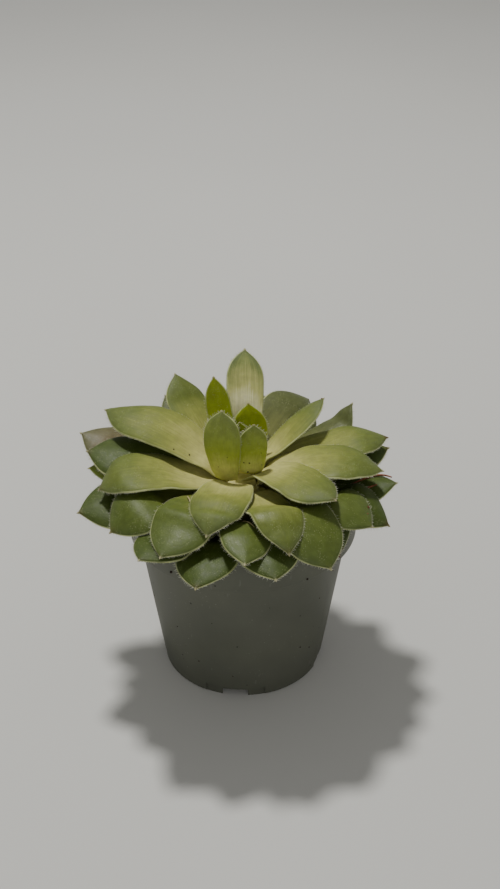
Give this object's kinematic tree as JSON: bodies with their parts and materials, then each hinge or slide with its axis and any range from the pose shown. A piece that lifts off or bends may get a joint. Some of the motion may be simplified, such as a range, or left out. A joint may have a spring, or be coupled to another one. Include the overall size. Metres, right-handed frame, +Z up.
{
  "type": "potted succulent",
  "caption": "Small rosette succulent with pointed fleshy leaves, growing in soil in a round tapered nursery pot with a rim band and foot drain notches.",
  "frame": {"origin": "on the surface the pot stands on, under the middle of the whole plant's bounding box; the pot's axis stands 1.7 mm to +X and 1.1 mm to +Y of it", "axes": "+Z up along the pot's axis; -Y is the front, towards the viewer, with +X to the viewer's right"},
  "size_m": [0.0772, 0.0746, 0.0745],
  "materials": {
    "outer_leaf": "waxy, mid green, finely speckled",
    "middle_leaf": "waxy, mid green with a paler base",
    "upper_leaf": "waxy, pale yellow green",
    "inner_leaf": "matte, blue green over a pale base",
    "grey_plastic": "moulded matte grey",
    "potting_soil": "rough crumbly peat",
    "plant_stem": "dull fibrous",
    "pine_needle": "dry red brown"
  },
  "bodies": {
    "root": {"leaf_inner_01": "inner_leaf", "leaf_inner_02": "inner_leaf", "leaf_inner_03": "inner_leaf", "leaf_inner_04": "inner_leaf", "leaf_inner_05": "inner_leaf", "leaf_inner_06": "inner_leaf", "leaf_inner_07": "inner_leaf", "leaf_middle_01": "middle_leaf", "leaf_middle_02": "middle_leaf", "leaf_middle_03": "middle_leaf", "leaf_middle_04": "middle_leaf", "leaf_middle_05": "middle_leaf", "leaf_middle_06": "middle_leaf", "leaf_middle_07": "middle_leaf", "leaf_middle_08": "middle_leaf", "leaf_middle_09": "middle_leaf", "leaf_middle_10": "middle_leaf", "leaf_middle_11": "middle_leaf", "leaf_outer_01": "outer_leaf", "leaf_outer_02": "outer_leaf", "leaf_outer_03": "outer_leaf", "leaf_outer_04": "outer_leaf", "leaf_outer_05": "outer_leaf", "leaf_outer_06": "outer_leaf", "leaf_outer_07": "outer_leaf", "leaf_outer_08": "outer_leaf", "leaf_outer_09": "outer_leaf", "leaf_outer_10": "outer_leaf", "leaf_outer_11": "outer_leaf", "leaf_outer_12": "outer_leaf", "leaf_outer_13": "outer_leaf", "leaf_outer_14": "outer_leaf", "leaf_outer_15": "outer_leaf", "leaf_upper_01": "upper_leaf", "leaf_upper_02": "upper_leaf", "leaf_upper_03": "upper_leaf", "leaf_upper_04": "upper_leaf", "leaf_upper_05": "upper_leaf", "leaf_upper_06": "upper_leaf", "leaf_upper_07": "upper_leaf", "leaf_upper_08": "upper_leaf", "leaf_upper_09": "upper_leaf", "pine_needle_01": "pine_needle", "pine_needle_02": "pine_needle", "pot": "grey_plastic", "soil": "potting_soil", "stem": "plant_stem"}
  },
  "joints": []
}
